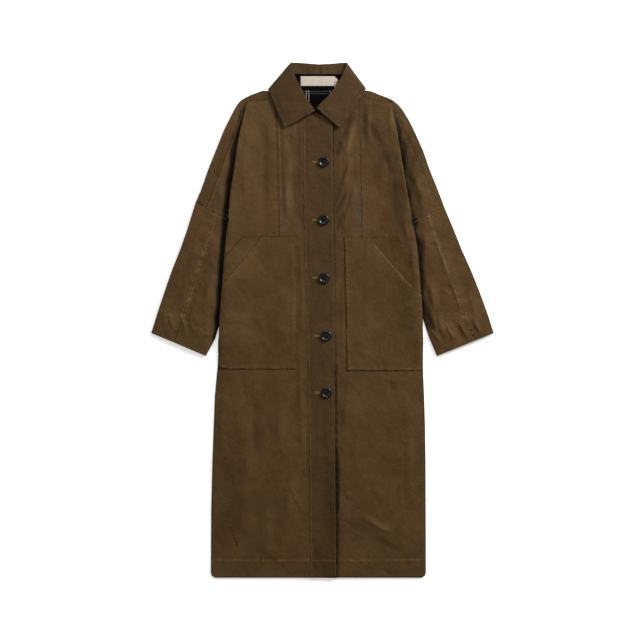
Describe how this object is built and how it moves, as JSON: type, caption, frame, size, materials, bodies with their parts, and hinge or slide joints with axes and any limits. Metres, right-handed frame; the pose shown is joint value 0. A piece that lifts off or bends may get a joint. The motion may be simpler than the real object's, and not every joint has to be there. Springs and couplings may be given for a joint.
{
  "type": "duster coat laid flat",
  "caption": "Long waxed cotton duster coat laid flat on its back, with a pointed collar, a button placket, deep patch pockets with slanted openings and wide two-piece sleeves",
  "frame": {"origin": "middle of the coat's outline, on the surface it lies on", "axes": "+X across the coat towards the sleeve on the right of the picture, +Y up the coat towards the collar, +Z out of the surface, towards the viewer"},
  "size_m": [0.8356, 1.258, 0.0156],
  "materials": {
    "waxed_cotton": "dry waxed cotton, slightly mottled, low sheen",
    "lining": "smooth woven lining, black with a thin white windowpane check",
    "label": "woven cream ribbon, blank",
    "button": "polished black resin"
  },
  "bodies": {
    "root": {"back": "waxed_cotton", "front_left": "waxed_cotton", "front_right": "waxed_cotton", "placket": "waxed_cotton", "pocket_left_backing": "waxed_cotton", "pocket_left_front": "waxed_cotton", "pocket_right_backing": "waxed_cotton", "pocket_right_front": "waxed_cotton", "sleeve_left_outer": "waxed_cotton", "sleeve_left_inner": "waxed_cotton", "sleeve_right_outer": "waxed_cotton", "sleeve_right_inner": "waxed_cotton", "collar_leaf": "waxed_cotton", "collar_stand": "waxed_cotton", "neck_lining": "lining", "neck_label": "label", "label_tail": "label", "button_1": "button", "button_2": "button", "button_3": "button", "button_4": "button", "button_5": "button"}
  },
  "joints": []
}
